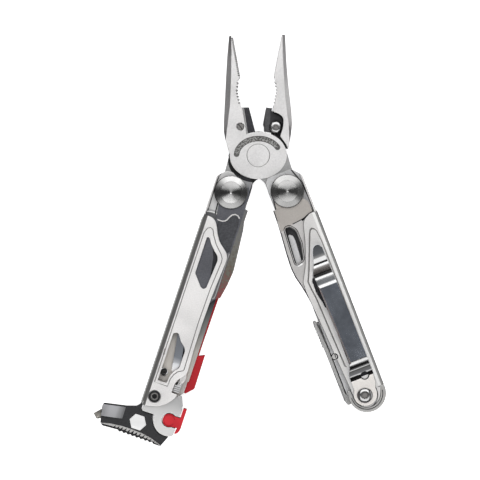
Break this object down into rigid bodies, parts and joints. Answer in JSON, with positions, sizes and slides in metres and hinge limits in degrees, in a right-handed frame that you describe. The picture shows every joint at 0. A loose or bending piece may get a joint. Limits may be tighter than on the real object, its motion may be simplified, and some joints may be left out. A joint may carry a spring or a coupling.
{
  "type": "multi tool",
  "caption": "Folding camping multi tool: needle-nose pliers on two sheet-steel handles, with knife, saw, hammer, hex wrench, hook, whistle, fire rod, sharpener, pocket clip and inner tools.",
  "frame": {"origin": "middle of the tool's bounding box, on the surface that it lies on", "axes": "+X to the right seen from the front, +Y from the handle ends towards the jaw tips, +Z out of the front"},
  "size_m": [0.119, 0.167, 0.0191],
  "materials": {
    "satin_steel": "satin",
    "polished_steel": "polished",
    "frosted_steel": "bead blasted",
    "knife_steel": "stonewashed",
    "dark_steel": "dark coated",
    "black_oxide": "black oxide",
    "clip_steel": "polished spring steel",
    "red_plastic": "moulded",
    "fire_rod": "cast ferrocerium",
    "carbide": "ground carbide",
    "bronze": "bearing bronze"
  },
  "bodies": {
    "left_jaw": {"left_jaw": "satin_steel", "left_cutter": "black_oxide", "left_cutter_screw": "frosted_steel"},
    "pivot": {"pivot_pin": "satin_steel", "pivot_nut": "satin_steel"},
    "right_jaw": {"right_jaw": "satin_steel", "right_cutter": "black_oxide", "right_cutter_screw": "polished_steel"},
    "left_handle": {"left_channel": "satin_steel", "left_front_frame": "satin_steel", "left_pivot_bolt": "polished_steel", "left_pivot_nut": "satin_steel", "left_pivot_washer": "bronze", "saw_lock_pin": "dark_steel", "saw_stop_pin": "dark_steel", "hook": "frosted_steel", "hammer_head": "black_oxide", "carbide_tip": "carbide", "left_end_screw": "dark_steel", "left_end_nut": "satin_steel"},
    "right_handle": {"right_channel": "satin_steel", "right_front_frame": "satin_steel", "right_pivot_bolt": "polished_steel", "right_pivot_nut": "satin_steel", "right_pivot_washer": "bronze", "pocket_clip": "clip_steel", "clip_screw": "polished_steel", "right_end_nut": "satin_steel", "end_spacer": "satin_steel", "end_cap": "frosted_steel", "lever_pin": "satin_steel"},
    "saw": {"saw": "dark_steel"},
    "saw_lock": {"saw_lock": "frosted_steel"},
    "knife": {"knife": "knife_steel"},
    "lock_lever": {"lock_lever": "frosted_steel"},
    "whistle": {"whistle": "red_plastic", "ferro_rod": "fire_rod"},
    "sharpener": {"sharpener_holder": "red_plastic", "sharpener_rod": "dark_steel"},
    "bit_driver": {"bit_driver": "satin_steel", "screwdriver_bit": "dark_steel"},
    "awl": {"awl": "satin_steel"},
    "can_opener": {"can_opener": "satin_steel"}
  },
  "joints": [
    {"name": "squeeze", "type": "hinge", "parent": "pivot", "child": "right_jaw", "pos_m": [0.00971, 0.03426, 0], "axis": [0, 0, 1], "range_deg": [0, 22.5]},
    {"name": "jaw_fold_close", "type": "hinge", "parent": "pivot", "child": "left_jaw", "pos_m": [0.00971, 0.03426, 0], "axis": [0, 0, -1], "range_deg": [0, 22.51]},
    {"name": "left_handle_fold", "type": "hinge", "parent": "right_jaw", "child": "left_handle", "pos_m": [-0.00179, 0.01941, 0], "axis": [0, 0, 1], "range_deg": [-171.55, 0]},
    {"name": "right_handle_fold", "type": "hinge", "parent": "left_jaw", "child": "right_handle", "pos_m": [0.02121, 0.01941, 0], "axis": [0, 0, 1], "range_deg": [0, 171.55]},
    {"name": "knife_open", "type": "hinge", "parent": "right_handle", "child": "knife", "pos_m": [0.02121, 0.01941, 0], "axis": [0, 0, 1], "range_deg": [-37, 0]},
    {"name": "saw_open", "type": "hinge", "parent": "left_handle", "child": "saw", "pos_m": [-0.00179, 0.01941, 0], "axis": [0, 0, -1], "range_deg": [-37, 0]},
    {"name": "saw_lock_press", "type": "hinge", "parent": "left_handle", "child": "saw_lock", "pos_m": [-0.01791, -0.04014, 0], "axis": [0, 0, 1], "range_deg": [0, 3]},
    {"name": "lock_lever_press", "type": "hinge", "parent": "right_handle", "child": "lock_lever", "pos_m": [0.03887, -0.04861, 0], "axis": [0, 0, -1], "range_deg": [0, 2.5]},
    {"name": "bit_driver_open", "type": "hinge", "parent": "right_handle", "child": "bit_driver", "pos_m": [0.05079, -0.06453, 0], "axis": [0, 0, -1], "range_deg": [0, 180]},
    {"name": "awl_open", "type": "hinge", "parent": "right_handle", "child": "awl", "pos_m": [0.05079, -0.06453, 0], "axis": [0, 0, -1], "range_deg": [0, 180]},
    {"name": "can_opener_open", "type": "hinge", "parent": "right_handle", "child": "can_opener", "pos_m": [0.05079, -0.06453, 0], "axis": [0, 0, -1], "range_deg": [0, 180]},
    {"name": "whistle_pull", "type": "slide", "parent": "left_handle", "child": "whistle", "axis": [-0.9415, 0.3371, 0], "range_m": [-0.016, 0]},
    {"name": "sharpener_slide", "type": "slide", "parent": "left_handle", "child": "sharpener", "axis": [0, 0, 1], "range_m": [0, 0.014]}
  ],
  "couplings": [
    {"joint": "jaw_fold_close", "follows": "left_handle_fold", "ratio": -0.13116},
    {"joint": "right_handle_fold", "follows": "left_handle_fold", "ratio": -1}
  ]
}
